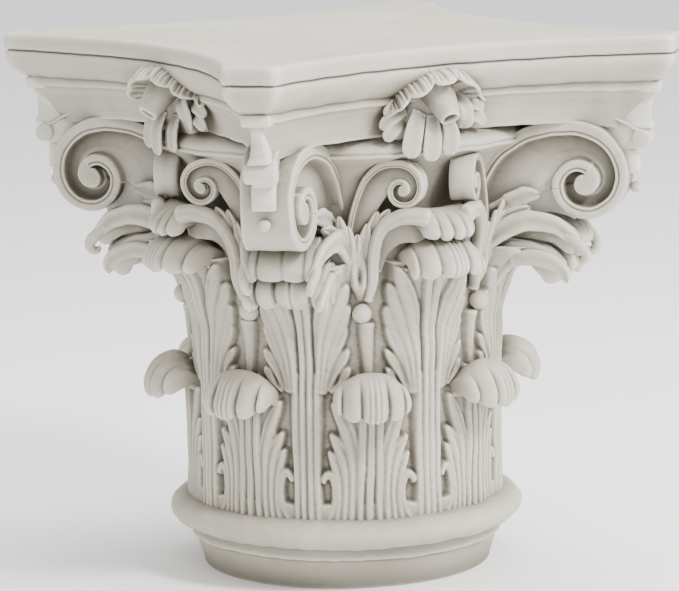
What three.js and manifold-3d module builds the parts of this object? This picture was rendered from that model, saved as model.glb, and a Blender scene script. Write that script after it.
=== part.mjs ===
// A Corinthian capital, cast in one piece, as a three.js scene graph.
// Millimetres, +Z up. The origin is the middle of the underside. The abacus has its cut corners
// on the diagonals, so its four hollow sides face along +X, +Y, -X and -Y.

import * as THREE from "three";
import { mergeVertices } from "three/addons/utils/BufferGeometryUtils.js";
import Module from "manifold-3d";

const wasm = await Module();
wasm.setup();

const deg = THREE.MathUtils.degToRad;

// ---------------------------------------------------------------- driving dimensions

const HEIGHT = 500; // underside to the top of the abacus
const SIDES = 4; // sides, and corners, of the abacus
const QUARTER = (2 * Math.PI) / SIDES;
const DIAGONAL = QUARTER / 2; // a corner's angle from its side's middle
const STALK_ANGLE = DIAGONAL / 2; // stalks and lower leaves lie half-way between the two

// Abacus, measured along the diagonal.
const CORNER_REACH = 318; // axis to the cut corner
const CORNER_HALF_WIDTH = 23;
const SIDE_SAG = 53; // hollow of each side
const ABACUS_FOOT = 410;
const SIDE_STEPS = 6;

// What stands on each cut corner, between the abacus and the volute. Reaches are on the diagonal.
const POST_BLOCK = { size: [10, 22, 9], reach: 299, z: 452.5 };
const POST_DEEP = 14;
const POST_ENDS = [
  [292, 8, 410], // reach, half width, height
  [296, 5, 449],
];
const ROLL = { radius: 9, length: 28, reach: 286, z: 404 };

// Bell and base ring.
const BASE_RADIUS = 136; // at the underside
const BAND_RADIUS = 143; // at the top of the plain band
const BAND_TOP = 28;
const FILLET_RADIUS = 147;
const FILLET_TOP = 40.5;
const TORUS_CENTRE = [146, 54];
const TORUS_RADII = [21, 14];
const LEAF_FOOT = 66; // where the leaves meet the base ring
const CORE_RADIUS = 136; // bell between the leaves
const BELL_WAIST = 147; // bell under its flare
const FLARE_FOOT = 340;
const LIP_RADIUS = 188;
const LIP_Z = [400, 414];
const ROUND_STEPS = 32;
const CORE_STEPS = 16;

// Corner volutes: each face is a flat plane that turns away from the diagonal going inwards.
const VOLUTE_REACH = 280; // axis to the outer edge of the scroll
const VOLUTE_HALF_WIDTH = 22; // of the front band
const VOLUTE_TURN = deg(6.5);
const VOLUTE_RECESS = 13;
const VOLUTE_SCROLL = {
  eye: [47.6, 363.8], // distance inwards from the reach, and height
  scale: 1,
  stemFoot: [153, 318],
  stemRise: 62,
  step: 34,
  coilStep: 42,
  channelEnd: 410,
};

// Inner helices: smaller scrolls of the same curve, in planes square to the corner's diagonal.
const HELIX_PLANE = 150; // axis to the face of the scroll
const HELIX_THICK = 24;
const HELIX_RECESS = 6;
const HELIX_SCROLL = {
  eye: [92, 372], // sideways from the diagonal, and height
  scale: 0.47,
  stemFoot: [40, 312],
  stemRise: 48,
  step: 45,
  coilStep: 60,
  channelEnd: 345,
};

// ---------------------------------------------------------------- closed meshes to solids

const point = (angle, radius, z) =>
  new THREE.Vector3(radius * Math.cos(angle), radius * Math.sin(angle), z);

/** A manifold-3d solid from a closed three.js geometry, turned right side out. */
function solid(geometry) {
  const bare = geometry.clone();
  bare.deleteAttribute("normal");
  bare.deleteAttribute("uv");
  const merged = mergeVertices(bare, 1e-3);
  const vertProperties = new Float32Array(merged.attributes.position.array);
  const triVerts = new Uint32Array(merged.index.array);
  const corner = (i) => new THREE.Vector3().fromArray(vertProperties, 3 * triVerts[i]);
  let volume = 0;
  for (let i = 0; i < triVerts.length; i += 3) {
    volume += corner(i).dot(corner(i + 1).cross(corner(i + 2)));
  }
  if (volume < 0) triVerts.reverse();
  return new wasm.Manifold(new wasm.Mesh({ numProp: 3, vertProperties, triVerts }));
}

/** A geometry from a list of points and a list of triangles over them. */
function meshOf(points, triangles) {
  const geometry = new THREE.BufferGeometry();
  geometry.setFromPoints(points);
  geometry.setIndex(triangles.flat());
  return geometry;
}

const union = (parts) => parts.reduce((whole, part) => whole.add(part));

/** A solid as a transformed copy: turned about the axis, and mirrored across XZ first if asked. */
function turned(part, angle, mirror = false) {
  const matrix = new THREE.Matrix4().makeRotationZ(angle);
  if (mirror) matrix.multiply(new THREE.Matrix4().makeScale(1, -1, 1));
  return part.transform(matrix.elements);
}

/** The solid between two flat outlines of equally many points. */
function between(lower, upper, outline) {
  const n = outline.length;
  const triangles = [];
  for (let i = 0; i < n; i += 1) {
    const j = (i + 1) % n;
    triangles.push([i, j, n + j], [i, n + j, n + i]);
  }
  const flipped = THREE.ShapeUtils.isClockWise(outline);
  for (const cap of THREE.ShapeUtils.triangulateShape(outline, [])) {
    const [a, b, c] = flipped ? cap.reverse() : cap;
    triangles.push([a, c, b], [n + a, n + b, n + c]);
  }
  return solid(meshOf([...lower, ...upper], triangles));
}

/** A closed skin through rings of equally many points, with a fan over each end. */
function loft(rings) {
  const n = rings[0].length;
  const points = rings.flat();
  const triangles = [];
  for (let k = 0; k + 1 < rings.length; k += 1) {
    for (let i = 0; i < n; i += 1) {
      const j = (i + 1) % n;
      const a = k * n;
      const b = a + n;
      triangles.push([a + i, a + j, b + j], [a + i, b + j, b + i]);
    }
  }
  for (const [ring, start] of [[rings[0], 0], [rings.at(-1), (rings.length - 1) * n]]) {
    const middle = new THREE.Vector3();
    ring.forEach((p) => middle.addScaledVector(p, 1 / n));
    const hub = points.push(middle) - 1;
    for (let i = 0; i < n; i += 1) {
      const edge = [start + i, start + ((i + 1) % n)];
      triangles.push(start === 0 ? [hub, edge[1], edge[0]] : [hub, edge[0], edge[1]]);
    }
  }
  return solid(meshOf(points, triangles));
}

// ---------------------------------------------------------------- base ring and bell

/** A turned solid from a profile of [radius, height] that starts and ends on the axis. */
function latheOf(profile, steps) {
  const outline = profile.map(([r, z]) => new THREE.Vector2(r, z));
  const geometry = new THREE.LatheGeometry(outline, steps);
  geometry.rotateX(Math.PI / 2);
  return solid(geometry);
}

/** The base ring: plain band, fillet and torus. */
function baseRing() {
  const profile = [
    [0, 0],
    [BASE_RADIUS, 0],
    [BAND_RADIUS, BAND_TOP - 0.5],
    [FILLET_RADIUS, BAND_TOP],
    [FILLET_RADIUS, FILLET_TOP],
  ];
  const torusSteps = 3;
  const sweep = 0.42 * Math.PI;
  for (let i = 0; i <= torusSteps; i += 1) {
    const a = THREE.MathUtils.lerp(-sweep, sweep, i / torusSteps);
    profile.push([
      TORUS_CENTRE[0] + TORUS_RADII[0] * Math.cos(a),
      TORUS_CENTRE[1] + TORUS_RADII[1] * Math.sin(a),
    ]);
  }
  profile.push([0, LEAF_FOOT + 4]);
  return latheOf(profile, ROUND_STEPS);
}

/** The round core behind the leaves, and the bell's flare with its lip. */
function bell() {
  const buried = 6; // how far the core reaches into the base ring
  const core = latheOf(
    [
      [0, LEAF_FOOT - buried],
      [CORE_RADIUS, LEAF_FOOT - buried],
      [CORE_RADIUS, 240],
      [BELL_WAIST - 1, 268],
      [BELL_WAIST - 1, FLARE_FOOT + 10],
      [0, FLARE_FOOT + 10],
    ],
    CORE_STEPS,
  );
  const flare = latheOf(
    [
      [0, FLARE_FOOT],
      [BELL_WAIST, FLARE_FOOT],
      [BELL_WAIST + 9, 385],
      [LIP_RADIUS - 2, LIP_Z[0]],
      [LIP_RADIUS, LIP_Z[1]],
      [0, LIP_Z[1]],
    ],
    ROUND_STEPS,
  );
  return core.add(flare);
}

// ---------------------------------------------------------------- abacus

const SIDE_HALF_CHORD = (CORNER_REACH - CORNER_HALF_WIDTH) / Math.SQRT2;
const SIDE_END = (CORNER_REACH + CORNER_HALF_WIDTH) / Math.SQRT2;
const SIDE_RADIUS = (SIDE_HALF_CHORD ** 2 + SIDE_SAG ** 2) / (2 * SIDE_SAG);
const SIDE_CENTRE = SIDE_END - SIDE_SAG + SIDE_RADIUS;

/** Half width of the cut corner when the whole outline is drawn in by `inset`. */
function cornerHalfWidth(inset) {
  const reach = CORNER_REACH - inset;
  const k = Math.SQRT2 * SIDE_CENTRE;
  const rest = reach ** 2 - k * reach + SIDE_CENTRE ** 2 - (SIDE_RADIUS + inset) ** 2;
  return (k - Math.sqrt(k ** 2 - 4 * rest)) / 2;
}

/** The abacus outline, drawn in by `inset`: four arcs joined by the cut corners. */
function abacusRing(inset, z) {
  const reach = CORNER_REACH - inset;
  const half = cornerHalfWidth(inset);
  const endY = (reach - half) / Math.SQRT2;
  const sweep = Math.asin(endY / (SIDE_RADIUS + inset));
  const up = new THREE.Vector3(0, 0, 1);
  const ring = [];
  for (let side = 0; side < SIDES; side += 1) {
    for (let i = 0; i <= SIDE_STEPS; i += 1) {
      const a = THREE.MathUtils.lerp(-sweep, sweep, i / SIDE_STEPS);
      const x = SIDE_CENTRE - (SIDE_RADIUS + inset) * Math.cos(a);
      const y = (SIDE_RADIUS + inset) * Math.sin(a);
      ring.push(new THREE.Vector3(x, y, z).applyAxisAngle(up, side * QUARTER));
    }
  }
  return ring;
}

/** Fascia, ovolo, fillet and cavetto of the abacus, as [inset, height], from the bottom up. */
const ABACUS_PROFILE = [
  [32, ABACUS_FOOT],
  [30, 429],
  [19, 448],
  [17, 457],
  [2, 470],
  [-2, 484],
  [-1, 496],
  [3, HEIGHT],
];

function abacus() {
  return loft(ABACUS_PROFILE.map(([inset, z]) => abacusRing(inset, z)));
}

/** The small block, post and roll that stand on each cut corner over the volute. */
function cornerPost() {
  const block = new THREE.BoxGeometry(...POST_BLOCK.size);
  block.translate(POST_BLOCK.reach, 0, POST_BLOCK.z);
  const ring = ([reach, half, z]) => [
    new THREE.Vector3(reach, -half, z),
    new THREE.Vector3(reach, half, z),
    new THREE.Vector3(reach - POST_DEEP, half, z),
    new THREE.Vector3(reach - POST_DEEP, -half, z),
  ];
  const post = loft(POST_ENDS.map(ring));
  const roll = new THREE.CylinderGeometry(ROLL.radius, ROLL.radius, ROLL.length, 8);
  roll.translate(ROLL.reach, 0, ROLL.z);
  return union([solid(block), post, solid(roll)]);
}

// ---------------------------------------------------------------- scrolls

/** Outer edge of a scroll of full size, as a radius about its eye, against the turn in degrees. */
const scrollOuter = (turn) => 10.7 + 66.7 * Math.exp(-turn / 242.8);
const scrollBand = (turn) => 10.3 + 3.7 * Math.exp(-Math.max(turn - 90, 0) / 60);
const SCROLL_START = 75; // turn where the stem runs into the scroll
const SCROLL_CLOSE = 350; // turn where the scroll meets its own web
const CUT_PAST = 2; // a cutter runs this far past the face it sinks

/** Inner edge of the channel: the next turn's outer edge, which ends in the round eye. */
function scrollCoil(turn) {
  const eye = 9 + 4 * Math.cos(deg(turn - 200));
  const blend = THREE.MathUtils.smoothstep(turn, 170, 250);
  return THREE.MathUtils.lerp(scrollOuter(turn + 360), eye, blend);
}

/** A scroll's outlines in its own plane: the whole body, and the sunk web and channel. */
function scroll({ eye, scale, stemFoot, stemRise, step, coilStep, channelEnd }) {
  const spot = (turn, radius) =>
    new THREE.Vector2(
      eye[0] + scale * radius * Math.cos(deg(turn)),
      eye[1] + scale * radius * Math.sin(deg(turn)),
    );
  const arc = (from, to, radius, size) => {
    const count = Math.round(Math.abs(to - from) / size);
    return Array.from({ length: count + 1 }, (_, i) => {
      const turn = THREE.MathUtils.lerp(from, to, i / count);
      return spot(turn, radius(turn));
    });
  };
  const stem = (foot, top) =>
    new THREE.CubicBezierCurve(
      foot,
      new THREE.Vector2(foot.x - scale, foot.y + stemRise),
      new THREE.Vector2(THREE.MathUtils.lerp(top.x, foot.x, 0.62), top.y),
      top,
    )
      .getPoints(3)
      .slice(0, -1);
  const foot = new THREE.Vector2(...stemFoot);
  const side = Math.sign(stemFoot[0] - eye[0]);
  const mirrored = (p) => new THREE.Vector2(2 * eye[0] - p.x, p.y);
  const facing = (list) => (side > 0 ? list : list.map(mirrored));
  const localFoot = side > 0 ? foot : mirrored(foot);
  const inner = (turn) => scrollOuter(turn) - scrollBand(turn);
  const outerArc = arc(SCROLL_START, SCROLL_CLOSE, scrollOuter, step);
  const body = [...stem(localFoot, outerArc[0]), ...outerArc];
  const innerArc = arc(SCROLL_START, channelEnd, inner, step);
  const innerFoot = localFoot.clone().add(new THREE.Vector2(-11 * scale, 0));
  const sunk = [
    ...stem(innerFoot, innerArc[0]),
    ...innerArc,
    ...arc(channelEnd, SCROLL_CLOSE - 360, scrollCoil, coilStep),
  ];
  return { body: facing(body), sunk: facing(sunk) };
}

/** A scroll outline laid on one face of the volute, sunk by `inset`. */
const voluteFace = (outline, side, inset) =>
  outline.map((p) => {
    const half = VOLUTE_HALF_WIDTH + p.x * Math.sin(VOLUTE_TURN) - inset;
    return new THREE.Vector3(VOLUTE_REACH - p.x * Math.cos(VOLUTE_TURN), side * half, p.y);
  });

/** One corner's volute: a wedge between two scroll faces, sunk around the coil on each. */
function volute() {
  const { body, sunk } = scroll(VOLUTE_SCROLL);
  const whole = between(voluteFace(body, -1, 0), voluteFace(body, 1, 0), body);
  const cutters = [-1, 1].map((side) =>
    between(voluteFace(sunk, side, VOLUTE_RECESS), voluteFace(sunk, side, -CUT_PAST), sunk),
  );
  return whole.subtract(cutters[0]).subtract(cutters[1]);
}

/** One of a corner's two helices, on the side of increasing angle. */
function helix() {
  const { body, sunk } = scroll(HELIX_SCROLL);
  const at = (outline, x) => outline.map((p) => new THREE.Vector3(x, p.x, p.y));
  const whole = between(at(body, HELIX_PLANE - HELIX_THICK), at(body, HELIX_PLANE), body);
  const cutter = between(
    at(sunk, HELIX_PLANE - HELIX_RECESS),
    at(sunk, HELIX_PLANE + CUT_PAST),
    sunk,
  );
  return whole.subtract(cutter);
}

// ---------------------------------------------------------------- leaves

// Each tier of leaves is one carved band round the bell. It is built from upright columns, each
// a closed loop: up the front of the leaf along its spine, over the curl to the tip, back along
// the top of the curl, and down inside the bell. Spines are the leaf's front as
// [radius, height]. A column is [root angle, tip angle, share of the spine, relief], with the
// angles in degrees from the leaf's middle.

const LOWER_SPINE = [
  [148, 66],
  [148, 105],
  [149, 138],
  [153, 160],
  [161, 179],
  [173, 189],
  [184, 183],
  [187.5, 170],
  [186, 160],
];
const SIDE_SPINE = [
  [140, 160],
  [150, 200],
  [152, 240],
  [158, 268],
  [170, 297],
  [184, 311],
  [194, 306],
  [195, 295],
];
const CORNER_SPINE = [
  [140, 160],
  [148, 200],
  [149, 238],
  [157, 266],
  [172, 289],
  [192, 301],
  [207, 298],
  [213, 287],
  [212, 278],
];
const SIDE_CANOPY_SPINE = [
  [150, 300],
  [158, 324],
  [170, 339],
  [181, 342],
  [188, 335],
  [187, 327],
];
const CORNER_CANOPY_SPINE = [
  [150, 285],
  [166, 308],
  [188, 324],
  [208, 325],
  [224, 315],
  [226, 302],
];

const LOWER_COLUMNS = [
  [1.5, 3, 1.0, 2],
  [4, 5.5, 0.94, -4],
  [7, 9.5, 0.99, 2],
  [12.5, 14, 0.66, -5],
];
const UPPER_COLUMNS = [
  [1.5, 3, 1.0, 2],
  [3.5, 5.5, 0.95, -4],
  [6, 10, 0.99, 2],
  [9, 16, 0.74, -5],
];
const BURIED_RADIUS = 128; // the bands' inner face, inside the core
const CURL_THICK = [16, 12]; // leaf thickness at the root and at the tip
const CURL_DROOP = 9; // how far a curl's side lobes hang below its middle
const FRONT_ROWS = [0, 0.55, 0.8, 1];
const BACK_ROWS = [1, 0.8];

/** The front of a leaf: [radius, height] and outward direction at a share of its spine. */
function spineOf(points) {
  const curve = new THREE.SplineCurve(points.map(([r, z]) => new THREE.Vector2(r, z)));
  return (share) => {
    const p = curve.getPointAt(share);
    const t = curve.getTangentAt(share);
    return { radius: p.x, z: p.y, out: t.y, up: -t.x };
  };
}

/** One column of a leaf as a closed loop of points. */
function leafColumn(spine, middle, side, [root, tip, reach, relief]) {
  const place = (t, lift) => {
    const share = reach * t;
    const s = spine(share);
    const offset = side * deg(root + (tip - root) * t ** 2);
    const curl = THREE.MathUtils.smoothstep(share, 0.55, 0.95);
    const droop = CURL_DROOP * curl * (offset / deg(13)) ** 2;
    return point(middle + offset, s.radius + lift * s.out, s.z + lift * s.up - droop);
  };
  const front = FRONT_ROWS.map((t) => place(t, relief * Math.min(1, 2 * t)));
  const back = BACK_ROWS.map((t) =>
    place(t, -THREE.MathUtils.lerp(CURL_THICK[0], CURL_THICK[1], reach * t)),
  );
  const edge = middle + side * deg(tip);
  const inner = [back.at(-1).z, front[0].z].map((z) => point(edge, BURIED_RADIUS, z));
  return [...front, ...back, ...inner];
}

/** A plain upright column of the band between two leaves, from `foot` to `top`. */
function plainColumn(angle, radius, foot, top) {
  const rise = FRONT_ROWS.map((t) => point(angle, radius, foot + (top - foot) * t));
  const fall = BACK_ROWS.map((_, i) => point(angle, radius - 4 - 3 * i, top + 1));
  const inner = [top, foot].map((z) => point(angle, BURIED_RADIUS, z));
  return [...rise, ...fall, ...inner];
}

/** A closed band round the axis through closed columns of equally many points. */
function band(columns) {
  const rows = columns[0].length;
  const triangles = [];
  const at = (j, i) => (j % columns.length) * rows + (i % rows);
  for (let j = 0; j < columns.length; j += 1) {
    for (let i = 0; i < rows; i += 1) {
      const [a, b, c, d] = [at(j, i), at(j + 1, i), at(j + 1, i + 1), at(j, i + 1)];
      triangles.push([a, b, c], [a, c, d]);
    }
  }
  return solid(meshOf(columns.flat(), triangles));
}

/** A leaf's columns from one edge to the other. */
function leafColumns(spinePoints, middle, columns) {
  const spine = spineOf(spinePoints);
  return [
    ...columns.toReversed().map((column) => leafColumn(spine, middle, -1, column)),
    ...columns.map((column) => leafColumn(spine, middle, 1, column)),
  ];
}

/** Eight lower leaves, with the stems of the upper ones between them. */
function lowerTier() {
  const columns = [];
  for (let k = 0; k < 2 * SIDES; k += 1) {
    const middle = STALK_ANGLE + k * DIAGONAL;
    columns.push(
      ...leafColumns(LOWER_SPINE, middle, LOWER_COLUMNS),
      plainColumn(middle + STALK_ANGLE, 150, LEAF_FOOT, 185),
    );
  }
  return band(columns);
}

/** Eight upper leaves: on the middles of the sides, and under the corners. */
function upperTier() {
  const columns = [];
  for (let k = 0; k < 2 * SIDES; k += 1) {
    const middle = k * DIAGONAL;
    const spine = k % 2 === 0 ? SIDE_SPINE : CORNER_SPINE;
    columns.push(...leafColumns(spine, middle, UPPER_COLUMNS));
  }
  return band(columns);
}

// ---------------------------------------------------------------- stalks, buds and sheaths

/** A column of the sheaths' band: a closed loop of [radius, height] at one angle. */
const loopColumn = (angle, loop) => loop.map(([r, z]) => point(angle, r, z));

const SHEATH_THICK = 12;
const SHEATH_HALF = [4, 9, 14]; // column angles from the middle of a row of lobes, in degrees
const SHEATH_BACK = [335, 300]; // heights of the band's inner face behind the lobes
const BUD_LOOP = [
  [146, 270],
  [158, 280],
  [162, 296],
  [160, 314],
  [150, 326],
  [BURIED_RADIUS, 320],
  [BURIED_RADIUS, 275],
];

/** The arch of a sheath between its bud and its lobes, carried out by `reach`. */
const archLoop = (reach) => [
  [150, 304],
  [166 + reach, 322],
  [172 + 1.2 * reach, 330],
  [170 + 1.1 * reach, 341],
  [156, 345],
  [BURIED_RADIUS, 340],
  [BURIED_RADIUS, 300],
];

/** A lobe of a sheath, hanging over the leaf below: its spine drawn in by `share`, and lowered. */
function lobeLoop(spinePoints, share, drop) {
  const spine = spineOf(spinePoints);
  const front = [0, 0.6, 1].map((t) => spine(t * share));
  const back = [1, 0.6].map((t) => spine(t * share));
  return [
    ...front.map((s) => [s.radius, s.z - drop]),
    ...back.map((s) => [s.radius - SHEATH_THICK * s.out, s.z - SHEATH_THICK * s.up - drop]),
    ...SHEATH_BACK.map((z) => [BURIED_RADIUS, z]),
  ];
}

/**
 * The sheaths: from each bud two sheaths rise and arch over the upper leaves' curls. They meet
 * in a row of lobes over the middle of each side and under each corner.
 */
function sheathTier() {
  const columns = [];
  for (let k = 0; k < 2 * SIDES; k += 1) {
    const middle = k * DIAGONAL;
    const onSide = k % 2 === 0;
    const spine = onSide ? SIDE_CANOPY_SPINE : CORNER_CANOPY_SPINE;
    const loops = [
      lobeLoop(spine, 1, 0),
      lobeLoop(spine, 0.97, 4),
      archLoop(onSide ? 0 : 24),
    ];
    const half = (side) =>
      loops.map((loop, i) => loopColumn(middle + side * deg(SHEATH_HALF[i]), loop));
    columns.push(
      ...half(-1).toReversed(),
      loopColumn(middle, lobeLoop(spine, 0.93, 0)),
      ...half(1),
      loopColumn(middle + STALK_ANGLE, BUD_LOOP),
    );
  }
  return band(columns);
}

const STALK_RADIUS = 146; // axis to the middle of a stalk
const STALK_RINGS = [
  [4.5, 9, 180], // half width, half depth, height
  [7, 12, 246],
  [4, 8, 252],
  [9, 13, 260], // the bead
  [4, 8, 268],
  [4, 8, 276],
];

/** The stalk and bead under each bud, on the +X side. */
function stalk() {
  const sides = 6;
  const ring = ([half, deep, z]) =>
    Array.from({ length: sides }, (_, i) => {
      const a = (2 * Math.PI * i) / sides;
      return new THREE.Vector3(STALK_RADIUS + deep * Math.cos(a), half * Math.sin(a), z);
    });
  return loft(STALK_RINGS.map(ring));
}

const WEB_LOBES = [
  [152, 318], // distance inwards from the volute's reach, and height
  [147, 337],
  [132, 349],
  [121, 348],
  [103, 359],
  [84, 359],
  [78, 350],
  [95, 340],
  [118, 322],
];

/** The sheath's upper lobes, which lie flat on the volute's sunk web. */
function webLobes() {
  const outline = WEB_LOBES.map(([u, z]) => new THREE.Vector2(u, z));
  const raised = 10; // above the web
  return between(
    voluteFace(outline, 1, VOLUTE_RECESS + 3),
    voluteFace(outline, 1, VOLUTE_RECESS - raised),
    outline,
  );
}

// ---------------------------------------------------------------- flowers

const FLOWER_CENTRE = [158, 432]; // on the middle of a side: distance from the axis, and height
const FLOWER_LOBES = 8;
const BLOOM_RINGS = [
  // radius, how far out at the top and at the foot, share that the lobes stand out by
  [20, -12, -12, 0],
  [43, 40, 22, 0.1],
  [14, 16, 18, 0],
];
const TUBE_RINGS = [
  [12, 6], // radius, distance along the tube
  [16, 30],
  [10, 46],
];
const TUBE_RISE = 12; // the tube's root above the flower's centre
const TUBE_NOD = 0.35; // its fall for each step outwards

/** The flower at the middle of a side: a lobed bloom with a hood above, and a tube in it. */
function flower() {
  const count = 2 * FLOWER_LOBES;
  const bloomRing = ([radius, outTop, outFoot, wave]) =>
    Array.from({ length: count }, (_, i) => {
      const turn = (2 * Math.PI * i) / count;
      const rise = (1 + Math.cos(turn)) / 2;
      const reach = radius * (i % 2 === 0 ? 1 + wave : 1 - wave);
      return new THREE.Vector3(
        FLOWER_CENTRE[0] + THREE.MathUtils.lerp(outFoot, outTop, rise),
        reach * Math.sin(turn),
        FLOWER_CENTRE[1] + reach * Math.cos(turn),
      );
    });
  const sides = 6;
  const tubeRing = ([radius, along]) =>
    Array.from({ length: sides }, (_, i) => {
      const turn = (2 * Math.PI * i) / sides;
      return new THREE.Vector3(
        FLOWER_CENTRE[0] + along + TUBE_NOD * radius * Math.cos(turn),
        radius * Math.sin(turn),
        FLOWER_CENTRE[1] + TUBE_RISE - TUBE_NOD * along + radius * Math.cos(turn),
      );
    });
  return loft(BLOOM_RINGS.map(bloomRing)).add(loft(TUBE_RINGS.map(tubeRing)));
}

// ---------------------------------------------------------------- the whole casting

/** What repeats at each quarter turn, about one side's middle and one corner. */
function quarter() {
  const aboutCorner = (part) => [turned(part, DIAGONAL), turned(part, DIAGONAL, true)];
  return union([
    turned(volute(), DIAGONAL),
    ...aboutCorner(helix()),
    ...aboutCorner(webLobes()),
    turned(cornerPost(), DIAGONAL),
    turned(stalk(), STALK_ANGLE),
    turned(stalk(), -STALK_ANGLE),
    flower(),
  ]);
}

function capital() {
  const ornament = quarter();
  const quarters = [];
  for (let k = 0; k < SIDES; k += 1) {
    quarters.push(turned(ornament, k * QUARTER));
  }
  return union([
    baseRing(),
    bell(),
    abacus(),
    lowerTier(),
    upperTier(),
    sheathTier(),
    ...quarters,
  ]);
}

/** A three.js geometry from a solid. */
function geometryOf(whole) {
  const mesh = whole.getMesh();
  const geometry = new THREE.BufferGeometry();
  const positions = new Float32Array(mesh.numVert * 3);
  for (let i = 0; i < mesh.numVert; i += 1) {
    for (let k = 0; k < 3; k += 1) {
      positions[3 * i + k] = mesh.vertProperties[mesh.numProp * i + k];
    }
  }
  geometry.setAttribute("position", new THREE.BufferAttribute(positions, 3));
  geometry.setIndex(new THREE.BufferAttribute(new Uint32Array(mesh.triVerts), 1));
  geometry.computeVertexNormals();
  return geometry;
}

const castStone = new THREE.MeshStandardMaterial({
  color: 0xcfc8b8,
  roughness: 0.75,
  metalness: 0,
});

const casting = new THREE.Mesh(geometryOf(capital()), castStone);
casting.name = "capital";

const group = new THREE.Group();
group.add(casting);

export default group;
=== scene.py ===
import math

import bpy
import numpy as np
from mathutils import Matrix, Vector


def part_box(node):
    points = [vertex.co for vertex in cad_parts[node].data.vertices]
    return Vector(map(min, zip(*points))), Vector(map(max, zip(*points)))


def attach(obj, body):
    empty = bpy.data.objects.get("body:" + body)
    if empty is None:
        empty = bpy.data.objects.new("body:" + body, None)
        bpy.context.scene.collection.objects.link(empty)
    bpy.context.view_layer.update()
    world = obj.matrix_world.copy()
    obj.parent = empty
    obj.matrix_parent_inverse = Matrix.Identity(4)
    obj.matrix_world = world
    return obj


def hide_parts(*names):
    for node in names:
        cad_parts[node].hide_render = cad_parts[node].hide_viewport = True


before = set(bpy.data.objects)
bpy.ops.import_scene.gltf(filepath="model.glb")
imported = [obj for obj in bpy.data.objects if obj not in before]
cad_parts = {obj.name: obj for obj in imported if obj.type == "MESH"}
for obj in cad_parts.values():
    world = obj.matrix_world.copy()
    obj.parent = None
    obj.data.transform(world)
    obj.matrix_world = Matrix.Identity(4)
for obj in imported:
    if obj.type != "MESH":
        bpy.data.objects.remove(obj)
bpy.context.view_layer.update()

# A cast Corinthian capital. Shapes are worked out in millimetres for a capital 500 high, with
# the axis as Z and the underside at 0, and scaled to the frame's own height. Angles are in
# degrees: the middle of a side is at 0 and a corner at 45.

NODE = "capital"
NODE_LOW, NODE_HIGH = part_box(NODE)
DESIGN_HEIGHT = 500.0
UNIT = (NODE_HIGH.z - NODE_LOW.z) / DESIGN_HEIGHT  # metres for a design millimetre

SIDES = 4
QUARTER = 90.0
CORNER = 45.0
STALK = 22.5  # stalks and lower leaves lie half-way between a side and a corner

# ---------------------------------------------------------------- small mathematics


def smooth(x, start, end):
    """0 before start, 1 after end, and a smooth step between them."""
    t = np.clip((np.asarray(x, float) - start) / (end - start), 0, 1)
    return t * t * (3 - 2 * t)


def mix(a, b, t):
    return a + (b - a) * t


def polar(angle, radius, z):
    """Points from an angle in degrees, a radius and a height."""
    a = np.radians(angle)
    return np.stack(np.broadcast_arrays(radius * np.cos(a), radius * np.sin(a), z), -1)


def curve(points, count, closed=False):
    """A smooth curve through points, as count points evenly spaced along it."""
    p = np.asarray(points, float)
    if closed:
        padded = np.vstack([p[-1], p, p[0], p[1]])
    else:
        padded = np.vstack([2 * p[0] - p[1], p, 2 * p[-1] - p[-2]])
    t = np.linspace(0, 1, 13)[:-1, None]
    dense = []
    for a, b, c, d in zip(padded[:-3], padded[1:-2], padded[2:-1], padded[3:]):
        dense.append(0.5 * (2 * b + (c - a) * t + (2 * a - 5 * b + 4 * c - d) * t**2
                            + (3 * b - a - 3 * c + d) * t**3))
    dense = np.vstack(dense + [padded[-2]])
    length = np.concatenate([[0], np.cumsum(np.linalg.norm(np.diff(dense, axis=0), axis=1))])
    wanted = np.linspace(0, length[-1], count + 1)[:-1] if closed else np.linspace(
        0, length[-1], count)
    return np.stack([np.interp(wanted, length, dense[:, k]) for k in range(p.shape[1])], -1)


def fold(angle, period):
    """An angle measured from the nearest multiple of period."""
    return (angle + period / 2) % period - period / 2


def wobble(points):
    """The slight unevenness of hand-modelled work: a smooth shift of every point."""
    shift = np.zeros_like(points)
    for size, reach, seed in ((0.55, 95.0, 1.0), (0.35, 48.0, 2.3), (0.16, 19.0, 4.1)):
        for axis in range(3):
            turn = np.array([math.sin(seed + 1.7 * axis), math.cos(2 * seed + axis),
                             math.sin(3 * seed - axis)])
            other = np.roll(turn, 1) * [1, -1, 1]
            phase = points @ turn * (2 * math.pi / reach) + seed * 3 + axis
            shift[:, axis] += size * np.sin(phase) * np.cos(
                points @ other * (2 * math.pi / reach) + axis)
    z = points[:, 2:]
    return points + shift * smooth(z, 2, 30) * (1 - smooth(z, 470, 498))


# ---------------------------------------------------------------- pieces


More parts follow.
